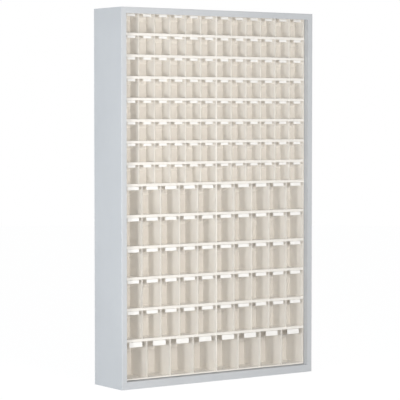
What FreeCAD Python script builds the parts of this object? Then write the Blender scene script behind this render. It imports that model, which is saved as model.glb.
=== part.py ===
import FreeCAD, Part
import math
import os

# A parts bin cabinet: a sheet steel housing with an open front, filled by rows of moulded modules whose clear
# bins tip forward about their lower front edge. Millimetres, +Z up, front towards -Y.
# The origin is the middle of the footprint, on the floor.

# Sheet steel housing
sheet = 1.5
back_sheet = 1.0
bend_radius = 2.0
sheet_gap = 0.2
housing_depth = 270.0
front_recess = 35.0
side_flange_width = 31.0
rear_flange_width = 22.0
top_band_height = 23.0
top_rear_flange_height = 18.0
plinth_height = 40.0
plinth_lip = 16.0
plinth_to_modules = 6.0
return_to_modules = 2.0

# What all modules share. They stand side by side in columns
columns = 2
module_width = 600.0
module_gap = 0.5
stack_gap = 0.3
frame_wall = 2.5
rail_thickness = 3.0
rail_height = 9.0
lip_height = 4.4
partition_setback = 1.0
hook_lip = 2.0
hook_drop = 10.0

# Modules with small bins
small_rows = 8
small_height = 113.0
small_bins = 6
small_tab_width = 50.0
small_tab_height = 16.5

# Modules with medium bins
medium_rows = 5
medium_height = 164.0
medium_bins = 5
medium_tab_width = 70.0
medium_tab_height = 22.0

# Modules with large bins
large_rows = 1
large_height = 207.0
large_bins = 4
large_tab_width = 76.0
large_tab_height = 27.0

# Hanging rails behind the modules
hanging_rail_web = 36.0
hanging_rail_flange = 20.0
hanging_rail_fit = 0.35

# What all bins share. A bin stops tipping when its rim comes up against the back of the frame's rail
bin_wall = 2.0
side_clearance = 0.5
front_clearance = 0.3
floor_clearance = 0.3
head_clearance = 1.0
back_clearance = 1.5
pivot_radius = 3.2
open_degrees = 50.0
stop_margin_degrees = 0.6
stop_catch = 3.0
back_lean_degrees = 8.0
tab_foot_reach = 7.0
tab_crown_reach = 4.0

overrun = 1.0

# Places that follow from the sizes above
hook_channel = sheet + hanging_rail_fit * 2
frame_width = module_width - module_gap
opening_half_width = columns * module_width / 2
half_width = opening_half_width + side_flange_width
inner_half_width = half_width - sheet - sheet_gap
stack_height = small_rows * small_height + medium_rows * medium_height + large_rows * large_height
modules_bottom = plinth_height + plinth_to_modules
modules_top = modules_bottom + stack_height
housing_height = modules_top + top_band_height
front_plane = -housing_depth / 2
back_plane = housing_depth / 2
modules_front = front_plane + front_recess
return_depth = front_recess - return_to_modules

ALONG_X = FreeCAD.Vector(1, 0, 0)
ALONG_Z = FreeCAD.Vector(0, 0, 1)


class ModuleSize:
    """One size of module and of the bins in it, seen in its own (depth, height) plane from its front foot."""

    def __init__(self, name, rows, height, bins, tab_width, tab_height):
        self.name = name
        self.rows = rows
        self.pitch = height
        self.bins = bins
        self.tab_width = tab_width
        self.tab_height = tab_height
        self.cell_pitch = (frame_width - frame_wall) / bins
        self.half_bin = (self.cell_pitch - frame_wall) / 2 - side_clearance
        self.height = height - stack_gap
        self.roof = self.height - frame_wall
        self.rail_foot = self.height - rail_height
        self.bin_front = rail_thickness + front_clearance
        self.bin_foot = frame_wall + floor_clearance
        self.bin_crown = self.rail_foot - head_clearance
        self.tab_crown = self.bin_front - tab_crown_reach
        self.tab_foot = self.bin_crown - tab_height
        self.pivot = (self.bin_front + pivot_radius, self.bin_foot + pivot_radius)
        stop = self.stop_place()
        self.rim_slope = (stop[1] - self.bin_crown) / (stop[0] - self.tab_crown)
        self.bin_back = stop[0] + stop_catch
        self.back = self.bin_back + back_clearance + frame_wall
        self.depth = self.back + hook_channel + hook_lip

    def stop_place(self):
        """Where the closed bin has the spot of its rim that an open one brings up to the rail's back edge."""
        reach = rail_thickness - self.pivot[0]
        rise = self.rail_foot - self.pivot[1]
        angle = math.atan2(rise, reach) - math.radians(open_degrees + stop_margin_degrees)
        spread = math.hypot(reach, rise)
        return (self.pivot[0] + spread * math.cos(angle), self.pivot[1] + spread * math.sin(angle))

    def rim_height(self, depth):
        """The rim falls in one slope from the front edge of the label tab to the back of the bin."""
        return self.bin_crown + self.rim_slope * (depth - self.tab_crown)

    def back_wall_depth(self, height):
        """The back wall leans back by a small angle up to the rim."""
        lean = math.tan(math.radians(back_lean_degrees))
        return self.bin_back - lean * (self.rim_height(self.bin_back) - height)

    def bin_centres(self):
        """The middles of the bins of one row along X, from left to right."""
        first = (self.cell_pitch + frame_wall) / 2
        return [
            column_left(column) + first + index * self.cell_pitch
            for column in range(columns)
            for index in range(self.bins)
        ]


def column_left(column):
    return -opening_half_width + column * module_width + module_gap / 2


SIZES = [
    ModuleSize("small", small_rows, small_height, small_bins, small_tab_width, small_tab_height),
    ModuleSize("medium", medium_rows, medium_height, medium_bins, medium_tab_width, medium_tab_height),
    ModuleSize("large", large_rows, large_height, large_bins, large_tab_width, large_tab_height),
]


def block(low, high):
    """A box between two corners."""
    reach = high.sub(low)
    return Part.makeBox(reach.x, reach.y, reach.z, low)


def prism(points, start, end):
    """A prism along X between two stations, from an outline given as (depth, height) pairs."""
    corners = [FreeCAD.Vector(start, y, z) for y, z in points]
    wire = Part.makePolygon(corners + corners[:1])
    return Part.Face(wire).extrude(ALONG_X * (end - start))


# Folded sheet
def rounded_run(points, radii):
    """Edges along a path whose inner corners are rounded by the given radii, or left sharp at zero."""
    edges = []
    here = points[0]
    for before, corner, after, radius in zip(points, points[1:], points[2:], radii):
        inward = before.sub(corner).normalize()
        onward = after.sub(corner).normalize()
        half_turn = inward.getAngle(onward) / 2
        bisector = inward.add(onward).normalize()
        start = corner.add(inward * (radius / math.tan(half_turn)))
        middle = corner.add(bisector * (radius / math.sin(half_turn) - radius))
        end = corner.add(onward * (radius / math.tan(half_turn)))
        edges.append(Part.LineSegment(here, start).toShape())
        if radius > 0:
            edges.append(Part.Arc(start, middle, end).toShape())
        here = end
    edges.append(Part.LineSegment(here, points[-1]).toShape())
    return edges


def folded_sheet(path, bends, across, length):
    """A sheet whose outer face follows the path, with its thickness to the left, drawn out along across."""
    steps = [b.sub(a).normalize() for a, b in zip(path, path[1:])]
    lefts = [across.cross(step) for step in steps]
    inner = [path[0].add(lefts[0] * sheet)]
    for corner, before, after in zip(path[1:], lefts, lefts[1:]):
        inner.append(corner.add(before.add(after) * (sheet / (1 + before.dot(after)))))
    inner.append(path[-1].add(lefts[-1] * sheet))
    outer_radii = [bend + sheet if bend > 0 else 0 for bend in bends]
    caps = [
        Part.LineSegment(path[0], inner[0]).toShape(),
        Part.LineSegment(path[-1], inner[-1]).toShape(),
    ]
    edges = rounded_run(path, outer_radii) + rounded_run(inner, bends) + caps
    wire = Part.Wire(Part.__sortEdges__(edges))
    return Part.Face(wire).extrude(across * length)


# Housing: folded side panels, top and base trays, and a flat back
def side_panel():
    """The left side: rear flange, wall, front flange and the return that leads to the modules.

    The return ends short of the trays' flat sheets, which pass above and below it.
    """
    wall = -half_width
    flange_edge = wall + side_flange_width
    path = [
        FreeCAD.Vector(wall + rear_flange_width, back_plane, 0),
        FreeCAD.Vector(wall, back_plane, 0),
        FreeCAD.Vector(wall, front_plane, 0),
        FreeCAD.Vector(flange_edge, front_plane, 0),
        FreeCAD.Vector(flange_edge, front_plane + return_depth, 0),
    ]
    folded = folded_sheet(path, [0, bend_radius, 0], ALONG_Z, housing_height)
    return_foot = plinth_height + sheet_gap
    return_head = housing_height - sheet - sheet_gap
    notches = [
        block(
            FreeCAD.Vector(flange_edge - sheet - overrun, front_plane + sheet, start),
            FreeCAD.Vector(flange_edge + overrun, front_plane + return_depth + overrun, end),
        )
        for start, end in ((-overrun, return_foot), (return_head, housing_height + overrun))
    ]
    return folded.cut(notches)


def tray(path, bends, level):
    """A folded tray between the side panels' flanges, whose flat sheet also reaches their walls."""
    half_length = opening_half_width - sheet_gap
    start = ALONG_X * -half_length
    folded = folded_sheet([point.add(start) for point in path], bends, ALONG_X, half_length * 2)
    corner_room = sheet + bend_radius + sheet_gap
    wings = block(
        FreeCAD.Vector(-inner_half_width, front_plane + corner_room, level - sheet),
        FreeCAD.Vector(inner_half_width, back_plane - corner_room, level),
    )
    return folded.fuse(wings).removeSplitter()


def top_panel():
    band_foot = housing_height - top_band_height
    path = [
        FreeCAD.Vector(0, back_plane, housing_height - top_rear_flange_height),
        FreeCAD.Vector(0, back_plane, housing_height),
        FreeCAD.Vector(0, front_plane, housing_height),
        FreeCAD.Vector(0, front_plane, band_foot),
        FreeCAD.Vector(0, front_plane + return_depth, band_foot),
    ]
    return tray(path, [0, bend_radius, 0], housing_height)


def base_panel():
    path = [
        FreeCAD.Vector(0, back_plane - plinth_lip, 0),
        FreeCAD.Vector(0, back_plane, 0),
        FreeCAD.Vector(0, back_plane, plinth_height),
        FreeCAD.Vector(0, front_plane, plinth_height),
        FreeCAD.Vector(0, front_plane, 0),
        FreeCAD.Vector(0, front_plane + plinth_lip, 0),
    ]
    return tray(path, [0, 0, 0, 0], plinth_height)


def back_panel():
    """A flat sheet held against the inside of the side panels' rear flanges."""
    half_length = inner_half_width
    rear_face = back_plane - sheet
    return block(
        FreeCAD.Vector(-half_length, rear_face - back_sheet, plinth_height + sheet_gap),
        FreeCAD.Vector(half_length, rear_face, housing_height - sheet - sheet_gap),
    )


# Modules: a moulded frame divided into cells, with a hook along its back edge
def module_frame(size):
    """A frame with its front lower left corner at the origin."""
    hook_front = size.depth - hook_lip
    hook_foot = size.height - hook_drop
    section = [
        (0, 0),
        (size.back, 0),
        (size.back, size.roof),
        (hook_front, size.roof),
        (hook_front, hook_foot),
        (size.depth, hook_foot),
        (size.depth, size.height),
        (0, size.height),
        (0, size.rail_foot),
        (rail_thickness, size.rail_foot),
        (rail_thickness, size.roof),
        (size.back - frame_wall, size.roof),
        (size.back - frame_wall, frame_wall),
        (rail_thickness, frame_wall),
        (rail_thickness, lip_height),
        (0, lip_height),
    ]
    walls = []
    for index in range(size.bins + 1):
        inside = 0 < index < size.bins
        left = index * size.cell_pitch
        low = FreeCAD.Vector(left, rail_thickness + partition_setback if inside else 0, 0)
        walls.append(block(low, FreeCAD.Vector(left + frame_wall, size.back, size.height)))
    return prism(section, 0, frame_width).multiFuse(walls).removeSplitter()


def hanging_rail(size):
    """An angle behind one row of modules, whose web stands in the hooks of their frames."""
    web_front = modules_front + size.back + hanging_rail_fit
    web_top = size.roof - hanging_rail_fit
    web_foot = web_top - hanging_rail_web
    section = [
        (web_front, web_foot),
        (web_front + hanging_rail_flange, web_foot),
        (web_front + hanging_rail_flange, web_foot + sheet),
        (web_front + sheet, web_foot + sheet),
        (web_front + sheet, web_top),
        (web_front, web_top),
    ]
    return prism(section, -inner_half_width, inner_half_width)


# Clear bins: each stands in the gutter behind its frame's lip and turns there about its front foot
def bin_outside(size):
    """The body before it is hollowed. Its front foot is bevelled, so that it turns clear of the gutter."""
    turning_radius = pivot_radius + floor_clearance / 2
    beside_pivot = math.sqrt(turning_radius**2 - pivot_radius**2)
    outline = [
        (size.pivot[0] - beside_pivot, size.bin_foot),
        (size.back_wall_depth(size.bin_foot), size.bin_foot),
        (size.bin_back, size.rim_height(size.bin_back)),
        (size.bin_front, size.rim_height(size.bin_front)),
        (size.bin_front, size.pivot[1] - beside_pivot),
    ]
    return prism(outline, -size.half_bin, size.half_bin)


def bin_cavity(size):
    wall_along_depth = bin_wall / math.cos(math.radians(back_lean_degrees))
    inner_foot = size.bin_foot + bin_wall
    above = size.bin_crown + overrun
    inner_front = size.bin_front + bin_wall
    inner_half = size.half_bin - bin_wall
    outline = [
        (inner_front, inner_foot),
        (size.back_wall_depth(inner_foot) - wall_along_depth, inner_foot),
        (size.back_wall_depth(above) - wall_along_depth, above),
        (inner_front, above),
    ]
    return prism(outline, -inner_half, inner_half)


def finger_gaps(size):
    """What is cut from the front wall on both sides of the label tab."""
    inner_half = size.half_bin - bin_wall
    half_tab = size.tab_width / 2
    gaps = []
    for start, end in ((-inner_half, -half_tab), (half_tab, inner_half)):
        low = FreeCAD.Vector(start, size.bin_front - overrun, size.tab_foot)
        high = FreeCAD.Vector(end, size.bin_front + bin_wall + overrun, size.bin_crown + overrun)
        gaps.append(block(low, high))
    return gaps


def label_tab(size):
    """The pull that stands out from the front wall and carries the label."""
    outline = [
        (size.bin_front, size.tab_foot),
        (size.bin_front - tab_foot_reach, size.tab_foot),
        (size.tab_crown, size.bin_crown),
        (size.bin_front, size.rim_height(size.bin_front)),
    ]
    return prism(outline, -size.tab_width / 2, size.tab_width / 2)


def tilt_bin(size):
    """A bin centred on X, with its depth and height measured from the front foot of its module."""
    cuts = [bin_cavity(size)] + finger_gaps(size)
    return bin_outside(size).cut(cuts).fuse(label_tab(size)).removeSplitter()


def write(name, shapes):
    Part.makeCompound(shapes).exportStep("parts/" + name + ".step")


def copies(shape, lefts, level):
    return [shape.translated(FreeCAD.Vector(x, modules_front, level)) for x in lefts]


os.makedirs("parts", exist_ok=True)

left_side = side_panel()
write("side_panel_left", [left_side])
write("side_panel_right", [left_side.mirror(FreeCAD.Vector(0, 0, 0), ALONG_X)])
write("top_panel", [top_panel()])
write("base_panel", [base_panel()])
write("back_panel", [back_panel()])

# The stack is filled from the top down. The lowest row of each size is written bin by bin, and each row above
# it as one group of bins
stack_top = modules_top
for size in SIZES:
    levels = [stack_top - row * size.pitch for row in range(1, size.rows + 1)]
    stack_top = levels[-1]
    lefts = [column_left(column) for column in range(columns)]
    frame = module_frame(size)
    write("module_frames_" + size.name, [one for level in levels for one in copies(frame, lefts, level)])
    rail = hanging_rail(size)
    write("hanging_rails_" + size.name, [rail.translated(ALONG_Z * level) for level in levels])

    tipper = tilt_bin(size)
    centres = size.bin_centres()
    for row, level in enumerate(levels[:-1], start=1):
        write(size.name + "_bins_row_" + str(row), copies(tipper, centres, level))
    for index, single in enumerate(copies(tipper, centres, levels[-1]), start=1):
        write(size.name + "_bin_" + str(index).zfill(2), [single])
    depth_place = modules_front + size.pivot[0]
    print(size.name, "bins turn about y =", depth_place, "and", size.pivot[1], "above each of", levels)
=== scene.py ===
import math

import bmesh
import bpy
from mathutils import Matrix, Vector


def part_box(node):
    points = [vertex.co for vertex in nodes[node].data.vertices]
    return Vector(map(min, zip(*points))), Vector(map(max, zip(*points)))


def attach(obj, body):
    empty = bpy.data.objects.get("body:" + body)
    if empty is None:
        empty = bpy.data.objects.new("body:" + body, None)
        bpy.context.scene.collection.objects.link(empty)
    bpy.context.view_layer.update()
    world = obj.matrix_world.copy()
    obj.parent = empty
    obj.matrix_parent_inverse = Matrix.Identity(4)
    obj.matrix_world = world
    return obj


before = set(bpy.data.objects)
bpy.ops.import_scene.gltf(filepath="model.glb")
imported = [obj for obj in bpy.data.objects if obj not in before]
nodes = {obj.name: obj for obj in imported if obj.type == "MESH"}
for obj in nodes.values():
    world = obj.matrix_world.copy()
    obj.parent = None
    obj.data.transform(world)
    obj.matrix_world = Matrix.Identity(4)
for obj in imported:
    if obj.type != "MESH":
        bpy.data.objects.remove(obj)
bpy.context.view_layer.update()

# Sizes in metres. A tab's height is that of the solid, and its card's width and height follow
TABS = {
    "small": {"height": 0.0165, "card": (0.0492, 0.0122)},
    "medium": {"height": 0.022, "card": (0.0722, 0.0177)},
    "large": {"height": 0.027, "card": (0.0812, 0.0262)},
}
TAB_FOOT_REACH = 0.007
TAB_CROWN_REACH = 0.004
CARD_MARGIN = 0.0004
CARD_CORNER = 0.0012
CARD_THICKNESS = 0.0003
CARD_DEPTH = 0.0004
CARD_BOW = 0.0001
STRIP_HEIGHT = 0.0035
STRIP_THICKNESS = 0.003
STRIP_CORNER = 0.0008
MODULE_SEAM = 0.0005
TOP_BAND_HEIGHT = 0.023
BAND_EDGE_HEIGHT = 0.009
BAND_EDGE_RETURN = 0.012
BAND_SHEET = 0.0015
RIVET_COUNT = 9
RIVET_END_DISTANCE = 0.12
RIVET_EDGE_DISTANCE = 0.011
RIVET_RADIUS = 0.0035
RIVET_HEIGHT = 0.0013
RIVET_SEGMENTS = 16
RIVET_DOME_SHARES = ((1.0, 0.0), (1.0, 0.25), (0.86, 0.62), (0.55, 0.9))
ARC_STEPS = 3
WELD_DISTANCE = 0.00002
BROKEN_EDGE = 0.0004
BROKEN_RAIL_EDGE = 0.0003
BROKEN_EDGE_DEGREES = 25.0

# Stage
FLOOR_RADIUS = 14.0
FLOOR_SEGMENTS = 96
FLOOR_GAP = 0.0002
FLOOR_GLOW = 1.06
FLOOR_GLOW_SHARE = 0.9
LAMP_TARGET = (0.0, 0.0, 0.9)
CAMERA_PLACE = (-5.785, -8.217, 1.442)
CAMERA_YAW_DEGREES = 34.96
CAMERA_PITCH_DEGREES = 2.66
CAMERA_LENS = 165.88
CAMERA_SENSOR = 36.0
CAMERA_CLIP_END = 100.0
TRANSPARENT_BOUNCES = 48


# Materials
NOISE_MIDDLE = (0.3, 0.7)


def new_material(name):
    """A node material with its Principled shader: (material, node tree, shader)."""
    material = bpy.data.materials.new(name)
    material.use_nodes = True
    tree = material.node_tree
    return material, tree, tree.nodes["Principled BSDF"]


def noise(tree, coordinates, scale, detail=2.0, roughness=0.5):
    node = tree.nodes.new("ShaderNodeTexNoise")
    node.inputs["Scale"].default_value = scale
    node.inputs["Detail"].default_value = detail
    node.inputs["Roughness"].default_value = roughness
    tree.links.new(coordinates, node.inputs["Vector"])
    return node.outputs["Fac"]


def blend_colours(tree, factor, low, high):
    """A ramp between two colours over the middle of a noise."""
    ramp = tree.nodes.new("ShaderNodeValToRGB")
    for element, place, colour in zip(ramp.color_ramp.elements, NOISE_MIDDLE, (low, high)):
        element.position = place
        element.color = (*colour, 1.0)
    tree.links.new(factor, ramp.inputs["Fac"])
    return ramp.outputs["Color"]


def spread(tree, factor, low, high):
    """The middle of a noise stretched to run from one value to another."""
    node = tree.nodes.new("ShaderNodeMapRange")
    node.inputs["From Min"].default_value = NOISE_MIDDLE[0]
    node.inputs["From Max"].default_value = NOISE_MIDDLE[1]
    node.inputs["To Min"].default_value = low
    node.inputs["To Max"].default_value = high
    tree.links.new(factor, node.inputs["Value"])
    return node.outputs["Result"]


def bump(tree, heights, shader):
    """Bumps one after another: (height, strength, distance in metres)."""
    normal = None
    for height, strength, distance in heights:
        node = tree.nodes.new("ShaderNodeBump")
        node.inputs["Strength"].default_value = strength
        node.inputs["Distance"].default_value = distance
        tree.links.new(height, node.inputs["Height"])
        if normal is not None:
            tree.links.new(normal, node.inputs["Normal"])
        normal = node.outputs["Normal"]
    tree.links.new(normal, shader.inputs["Normal"])
    return normal


def any_ray(tree, kinds):
    """One where the ray is of any of these kinds, and zero elsewhere."""
    path = tree.nodes.new("ShaderNodeLightPath")
    seen = path.outputs[kinds[0]]
    for kind in kinds[1:]:
        either = tree.nodes.new("ShaderNodeMath")
        either.operation = "MAXIMUM"
        tree.links.new(seen, either.inputs[0])
        tree.links.new(path.outputs[kind], either.inputs[1])
        seen = either.outputs["Value"]
    return seen


def mix_shaders(tree, factor, first, second, output):
    mix = tree.nodes.new("ShaderNodeMixShader")
    tree.links.new(factor, mix.inputs["Fac"])
    tree.links.new(first, mix.inputs[1])
    tree.links.new(second, mix.inputs[2])
    tree.links.new(mix.outputs["Shader"], tree.nodes[output].inputs["Surface"])


def powder_coat(name, low, high):
    """Light powder coat on steel: a fine orange peel, slow drifts of tone and duller patches."""
    material, tree, shader = new_material(name)
    place = tree.nodes.new("ShaderNodeTexCoord").outputs["Object"]
    peel = noise(tree, place, scale=620.0, detail=3.0)
    grit = noise(tree, place, scale=2400.0, detail=1.0)
    drift = noise(tree, place, scale=2.3, detail=4.0, roughness=0.6)
    patches = noise(tree, place, scale=11.0, detail=3.0)
    tree.links.new(blend_colours(tree, drift, low, high), shader.inputs["Base Color"])
    tree.links.new(spread(tree, patches, low=0.42, high=0.52), shader.inputs["Roughness"])
    bump(tree, [(peel, 0.25, 0.00025), (grit, 0.12, 0.0001)], shader)
    return material


def moulded_plastic(name, low, high):
    """White moulded plastic: a satin skin with faint flow marks and a fine grain."""
    material, tree, shader = new_material(name)
    place = tree.nodes.new("ShaderNodeTexCoord").outputs["Object"]
    grain = noise(tree, place, scale=1900.0, detail=2.0)
    flow = noise(tree, place, scale=14.0, detail=3.0, roughness=0.6)
    tree.links.new(blend_colours(tree, flow, low, high), shader.inputs["Base Color"])
    tree.links.new(spread(tree, flow, low=0.34, high=0.42), shader.inputs["Roughness"])
    bump(tree, [(grain, 0.10, 0.00008)], shader)
    return material


def clear_plastic(name):
    """A clear film on each face of the solid wall, which shines at a slant and is a little hazy."""
    material, tree, shader = new_material(name)
    place = tree.nodes.new("ShaderNodeTexCoord").outputs["Object"]
    haze = noise(tree, place, scale=26.0, detail=3.0, roughness=0.55)
    ripple = noise(tree, place, scale=60.0, detail=2.0)
    colour = blend_colours(tree, haze, low=(0.88, 0.85, 0.80), high=(0.93, 0.91, 0.87))
    tree.links.new(colour, shader.inputs["Base Color"])
    tree.links.new(spread(tree, haze, low=0.05, high=0.10), shader.inputs["Roughness"])
    normal = bump(tree, [(ripple, 0.08, 0.0012)], shader)

    through = tree.nodes.new("ShaderNodeBsdfTransparent")
    through.inputs["Color"].default_value = (0.990, 0.987, 0.983, 1.0)
    fresnel = tree.nodes.new("ShaderNodeFresnel")
    fresnel.inputs["IOR"].default_value = 1.5
    tree.links.new(normal, fresnel.inputs["Normal"])
    solid = tree.nodes.new("ShaderNodeMath")
    solid.operation = "ADD"
    solid.use_clamp = True
    tree.links.new(fresnel.outputs["Fac"], solid.inputs[0])
    tree.links.new(spread(tree, haze, low=0.015, high=0.035), solid.inputs[1])

    # Lamp light passes through whole: what a wall reflects lights the white cell all the same
    kept = tree.nodes.new("ShaderNodeMath")
    kept.operation = "SUBTRACT"
    kept.use_clamp = True
    tree.links.new(solid.outputs["Value"], kept.inputs[0])
    tree.links.new(any_ray(tree, ("Is Shadow Ray", "Is Diffuse Ray")), kept.inputs[1])
    film = kept.outputs["Value"]
    mix_shaders(tree, film, through.outputs["BSDF"], shader.outputs["BSDF"], "Material Output")
    return material


def paper(name):
    """Bare white label card with a faint fibre."""
    material, tree, shader = new_material(name)
    place = tree.nodes.new("ShaderNodeTexCoord").outputs["Object"]
    fibre = noise(tree, place, scale=900.0, detail=4.0, roughness=0.7)
    tone = noise(tree, place, scale=30.0, detail=2.0)
    colour = blend_colours(tree, tone, low=(0.93, 0.92, 0.90), high=(0.97, 0.965, 0.95))
    tree.links.new(colour, shader.inputs["Base Color"])
    shader.inputs["Roughness"].default_value = 0.7
    bump(tree, [(fibre, 0.15, 0.00005)], shader)
    return material


def zinc(name):
    """Zinc plated steel of rivets and screws."""
    material, tree, shader = new_material(name)
    place = tree.nodes.new("ShaderNodeTexCoord").outputs["Object"]
    crystals = noise(tree, place, scale=700.0, detail=3.0)
    colour = blend_colours(tree, crystals, low=(0.55, 0.56, 0.57), high=(0.68, 0.69, 0.70))
    tree.links.new(colour, shader.inputs["Base Color"])
    tree.links.new(spread(tree, crystals, low=0.28, high=0.42), shader.inputs["Roughness"])
    shader.inputs["Metallic"].default_value = 1.0
    bump(tree, [(crystals, 0.10, 0.00005)], shader)
    return material


PAINT = powder_coat("cabinet_paint", low=(0.530, 0.548, 0.570), high=(0.566, 0.584, 0.606))
RAIL_PAINT = powder_coat("rail_paint", low=(0.60, 0.61, 0.62), high=(0.64, 0.65, 0.66))
FRAME_PLASTIC = moulded_plastic(
    "frame_plastic", low=(0.885, 0.852, 0.800), high=(0.915, 0.880, 0.830)
)
CLEAR_PLASTIC = clear_plastic("clear_plastic")
PAPER = paper("label_paper")
ZINC = zinc("zinc")


# Pieces carried over from the solids
def dress(node, material, bevel):
    """A solid keeps its shape and gets a material and slightly broken edges."""
    piece = nodes[node]
    piece.data.materials.clear()
    piece.data.materials.append(material)
    weld = piece.modifiers.new("weld", "WELD")
    weld.merge_threshold = WELD_DISTANCE
    edges = piece.modifiers.new("edges", "BEVEL")
    edges.width = bevel
    edges.segments = 2
    edges.limit_method = "ANGLE"
    edges.angle_limit = math.radians(BROKEN_EDGE_DEGREES)
    edges.use_clamp_overlap = True
    edges.harden_normals = True


for name in nodes:
    if "_bin_" in name or "_bins_" in name:
        dress(name, CLEAR_PLASTIC, BROKEN_EDGE)
    elif name.startswith("module_frames"):
        dress(name, FRAME_PLASTIC, BROKEN_EDGE)
    elif name.startswith("hanging_rails"):
        dress(name, RAIL_PAINT, BROKEN_RAIL_EDGE)
    else:
        dress(name, PAINT, BROKEN_EDGE)


# What the added pieces share
def close_rings(bm, rings):
    """Faces from each ring of points to the next, and over the first and the last."""
    for lower, upper in zip(rings, rings[1:]):
        for index in range(len(lower)):
            after = (index + 1) % len(lower)
            bm.faces.new((lower[index], lower[after], upper[after], upper[index]))
    bm.faces.new(rings[-1])
    bm.faces.new(list(reversed(rings[0])))


def quarter_turn(start, direction=1):
    """The angles of an arc of 90 degrees."""
    return [math.radians(start + direction * 90 * step / ARC_STEPS) for step in range(ARC_STEPS + 1)]


def add_piece(name, bm, material, body):
    """A piece of the scene that moves with a body."""
    bmesh.ops.recalc_face_normals(bm, faces=bm.faces)
    mesh = bpy.data.meshes.new(name)
    bm.to_mesh(mesh)
    bm.free()
    piece = bpy.data.objects.new(name, mesh)
    bpy.context.scene.collection.objects.link(piece)
    mesh.materials.append(material)
    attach(piece, body)
    return piece


# Label cards, in the plane of each tab's sloping front
def add_card(bm, middle, front, crown, tab):
    """A bowed card at the top of a tab, whose foot is at the front and whose crown is further back."""
    slope = Vector((0.0, TAB_FOOT_REACH - TAB_CROWN_REACH, tab["height"]))
    up = slope.normalized()
    along = Vector((1.0, 0.0, 0.0))
    inward = along.cross(up) * -1.0
    if inward.y < 0:
        inward = -inward
    half_width, half_height = (size / 2 for size in tab["card"])
    rise = slope.length - CARD_MARGIN - half_height
    centre = Vector((middle, front, crown - tab["height"])) + up * rise + inward * CARD_DEPTH
    corner = CARD_CORNER
    outline = []
    for x_side, z_side, start in ((1, 1, 0), (-1, 1, 90), (-1, -1, 180), (1, -1, 270)):
        for angle in quarter_turn(start):
            x = x_side * (half_width - corner) + corner * math.cos(angle)
            z = z_side * (half_height - corner) + corner * math.sin(angle)
            outline.append((x, z))

    def place(x, z, depth):
        bow = CARD_BOW * (1 - (x / half_width) ** 2)
        return centre + along * x + up * z + inward * (depth - bow)

    faces = (0.0, CARD_THICKNESS)
    close_rings(bm, [[bm.verts.new(place(x, z, depth)) for x, z in outline] for depth in faces])


middles = {size: [] for size in TABS}
for name in sorted(nodes):
    if "_bin_" in name:
        low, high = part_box(name)
        middles[name.split("_")[0]].append((low.x + high.x) / 2)

for name in sorted(nodes):
    size = name.split("_")[0]
    if size not in TABS or "_bin" not in name:
        continue
    low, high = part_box(name)
    bm = bmesh.new()
    for middle in middles[size] if "_bins_" in name else [(low.x + high.x) / 2]:
        add_card(bm, middle, low.y, high.z, TABS[size])
    add_piece(name + "_cards", bm, PAPER, name)


# Trim along the modules: bars of one section that run from side to side
def add_bar(bm, outline, start, end):
    """A bar along X with this outline in Y and Z."""
    close_rings(bm, [[bm.verts.new((x, y, z)) for y, z in outline] for x in (start, end)])


def strip_outline(front, top):
    """A flat strip whose two lower edges are rounded."""
    corner = STRIP_CORNER
    outline = [(front, top), (front + STRIP_THICKNESS, top)]
    for y_side, begin in ((1, 0), (-1, -90)):
        middle = front + STRIP_THICKNESS / 2 + y_side * (STRIP_THICKNESS / 2 - corner)
        for angle in quarter_turn(begin, direction=-1):
            height = top - STRIP_HEIGHT + corner + corner * math.sin(angle)
            outline.append((middle + corner * math.cos(angle), height))
    return outline


# Foot strips: the rounded edge that the front of each lowest module stands on, above a narrow gap
module_low, module_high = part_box("module_frames_large")
bm = bmesh.new()
foot = strip_outline(module_low.y, module_low.z)
add_bar(bm, foot, module_low.x, -MODULE_SEAM / 2)
add_bar(bm, foot, MODULE_SEAM / 2, module_high.x)
add_piece("foot_strips", bm, FRAME_PLASTIC, "cabinet")

# Band edge: the folded lower edge of the top band, which hides the rail of the first row
top_low, top_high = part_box("top_panel")
band_foot = top_high.z - TOP_BAND_HEIGHT
edge_foot = band_foot - BAND_EDGE_HEIGHT
inside = top_low.y + BAND_SHEET
section = [
    (top_low.y, band_foot),
    (top_low.y, edge_foot),
    (top_low.y + BAND_EDGE_RETURN, edge_foot),
    (top_low.y + BAND_EDGE_RETURN, edge_foot + BAND_SHEET),
    (inside, edge_foot + BAND_SHEET),
    (inside, band_foot),
]
bm = bmesh.new()
add_bar(bm, section, module_low.x, module_high.x)
add_piece("band_edge", bm, PAINT, "cabinet")


# Rivets that hold the back panel in the side panels' rear flanges
def add_rivet(bm, place, outward):
    """A domed head on a flat face."""
    side = outward.orthogonal().normalized()
    other = outward.cross(side)
    rings = []
    for share, lift in RIVET_DOME_SHARES:
        ring = []
        for step in range(RIVET_SEGMENTS):
            angle = math.tau * step / RIVET_SEGMENTS
            offset = (side * math.cos(angle) + other * math.sin(angle)) * (RIVET_RADIUS * share)
            ring.append(bm.verts.new(place + offset + outward * (RIVET_HEIGHT * lift)))
        rings.append(ring)
    close_rings(bm, rings)


side_low, side_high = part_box("side_panel_left")
rivet_spacing = (side_high.z - 2 * RIVET_END_DISTANCE) / (RIVET_COUNT - 1)
bm = bmesh.new()
for side in (-1, 1):
    for index in range(RIVET_COUNT):
        height = RIVET_END_DISTANCE + index * rivet_spacing
        place = Vector((side * (abs(side_low.x) - RIVET_EDGE_DISTANCE), side_high.y, height))
        add_rivet(bm, place, outward=Vector((0.0, 1.0, 0.0)))
rivets = add_piece("back_rivets", bm, ZINC, "cabinet")
for polygon in rivets.data.polygons:
    polygon.use_smooth = True


# Floor, world, lamps and camera
SEEN_RAYS = ("Is Camera Ray", "Is Glossy Ray", "Is Transmission Ray")


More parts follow.
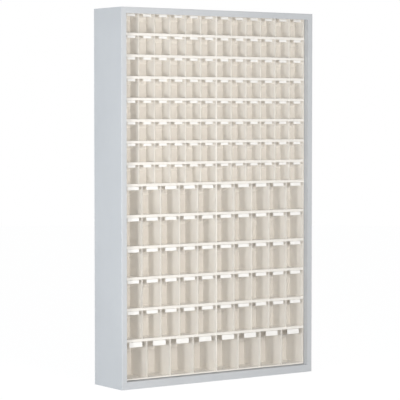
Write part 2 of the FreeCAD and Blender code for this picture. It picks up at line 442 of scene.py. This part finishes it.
def floor_material():
    """White where the camera, a reflection or a clear wall shows it, with a faint shadow kept."""
    material, tree, shader = new_material("floor")
    place = tree.nodes.new("ShaderNodeTexCoord").outputs["Object"]
    tone = noise(tree, place, scale=1.5, detail=3.0)
    colour = blend_colours(tree, tone, low=(0.86, 0.86, 0.86), high=(0.88, 0.88, 0.88))
    tree.links.new(colour, shader.inputs["Base Color"])
    shader.inputs["Roughness"].default_value = 0.9
    shader.inputs["Specular IOR Level"].default_value = 0.0
    glow = tree.nodes.new("ShaderNodeEmission")
    glow.inputs["Strength"].default_value = FLOOR_GLOW
    share = tree.nodes.new("ShaderNodeMath")
    share.operation = "MULTIPLY"
    share.inputs[1].default_value = FLOOR_GLOW_SHARE
    tree.links.new(any_ray(tree, SEEN_RAYS), share.inputs[0])
    part = share.outputs["Value"]
    mix_shaders(tree, part, shader.outputs["BSDF"], glow.outputs["Emission"], "Material Output")
    return material


bm = bmesh.new()
bmesh.ops.create_circle(bm, cap_ends=True, segments=FLOOR_SEGMENTS, radius=FLOOR_RADIUS)
mesh = bpy.data.meshes.new("floor")
bm.to_mesh(mesh)
bm.free()
mesh.materials.append(floor_material())
floor = bpy.data.objects.new("floor", mesh)
floor.location.z = -FLOOR_GAP
bpy.context.scene.collection.objects.link(floor)


def set_world(light, strength):
    """Even light from all round, seen as plain white."""
    world = bpy.data.worlds.new("studio")
    world.use_nodes = True
    bpy.context.scene.world = world
    tree = world.node_tree
    background = tree.nodes["Background"]
    background.inputs["Color"].default_value = (*light, 1.0)
    background.inputs["Strength"].default_value = strength
    white = tree.nodes.new("ShaderNodeBackground")
    white.inputs["Color"].default_value = (1.0, 1.0, 1.0, 1.0)
    white.inputs["Strength"].default_value = 1.0
    plain, seen = background.outputs["Background"], white.outputs["Background"]
    mix_shaders(tree, any_ray(tree, SEEN_RAYS), plain, seen, "World Output")


def add_lamp(name, place, size, power, colour):
    """A rectangular lamp that faces the middle of the object."""
    lamp = bpy.data.lights.new(name, "AREA")
    lamp.shape = "RECTANGLE"
    lamp.size, lamp.size_y = size
    lamp.energy = power
    lamp.color = colour
    holder = bpy.data.objects.new(name, lamp)
    holder.location = place
    aim = Vector(LAMP_TARGET) - Vector(place)
    holder.rotation_euler = aim.to_track_quat("-Z", "Y").to_euler()
    bpy.context.scene.collection.objects.link(holder)


set_world(light=(0.97, 1.0, 1.03), strength=0.45)
add_lamp(
    "front_light", place=(-1.0, -5.5, 1.6), size=(1.6, 1.4), power=127.0, colour=(1.0, 0.965, 0.92)
)
add_lamp(
    "key_light", place=(-3.9, -2.1, 0.8), size=(0.6, 0.9), power=58.0, colour=(0.98, 0.98, 0.97)
)
add_lamp(
    "left_light", place=(-5.6, -0.3, 0.8), size=(2.4, 2.4), power=58.0, colour=(0.86, 0.94, 1.0)
)

camera = bpy.data.cameras.new("camera")
camera.lens = CAMERA_LENS
camera.sensor_width = CAMERA_SENSOR
camera.clip_end = CAMERA_CLIP_END
holder = bpy.data.objects.new("camera", camera)
yaw = math.radians(CAMERA_YAW_DEGREES)
pitch = math.radians(CAMERA_PITCH_DEGREES)
forward = Vector(
    (math.sin(yaw) * math.cos(pitch), math.cos(yaw) * math.cos(pitch), -math.sin(pitch))
)
holder.location = CAMERA_PLACE
holder.rotation_euler = forward.to_track_quat("-Z", "Y").to_euler()
bpy.context.scene.collection.objects.link(holder)
bpy.context.scene.camera = holder
bpy.context.scene.view_settings.view_transform = "Standard"
# A ray meets two faces at every clear wall, on its way in and again on its way out
bpy.context.scene.cycles.transparent_max_bounces = TRANSPARENT_BOUNCES
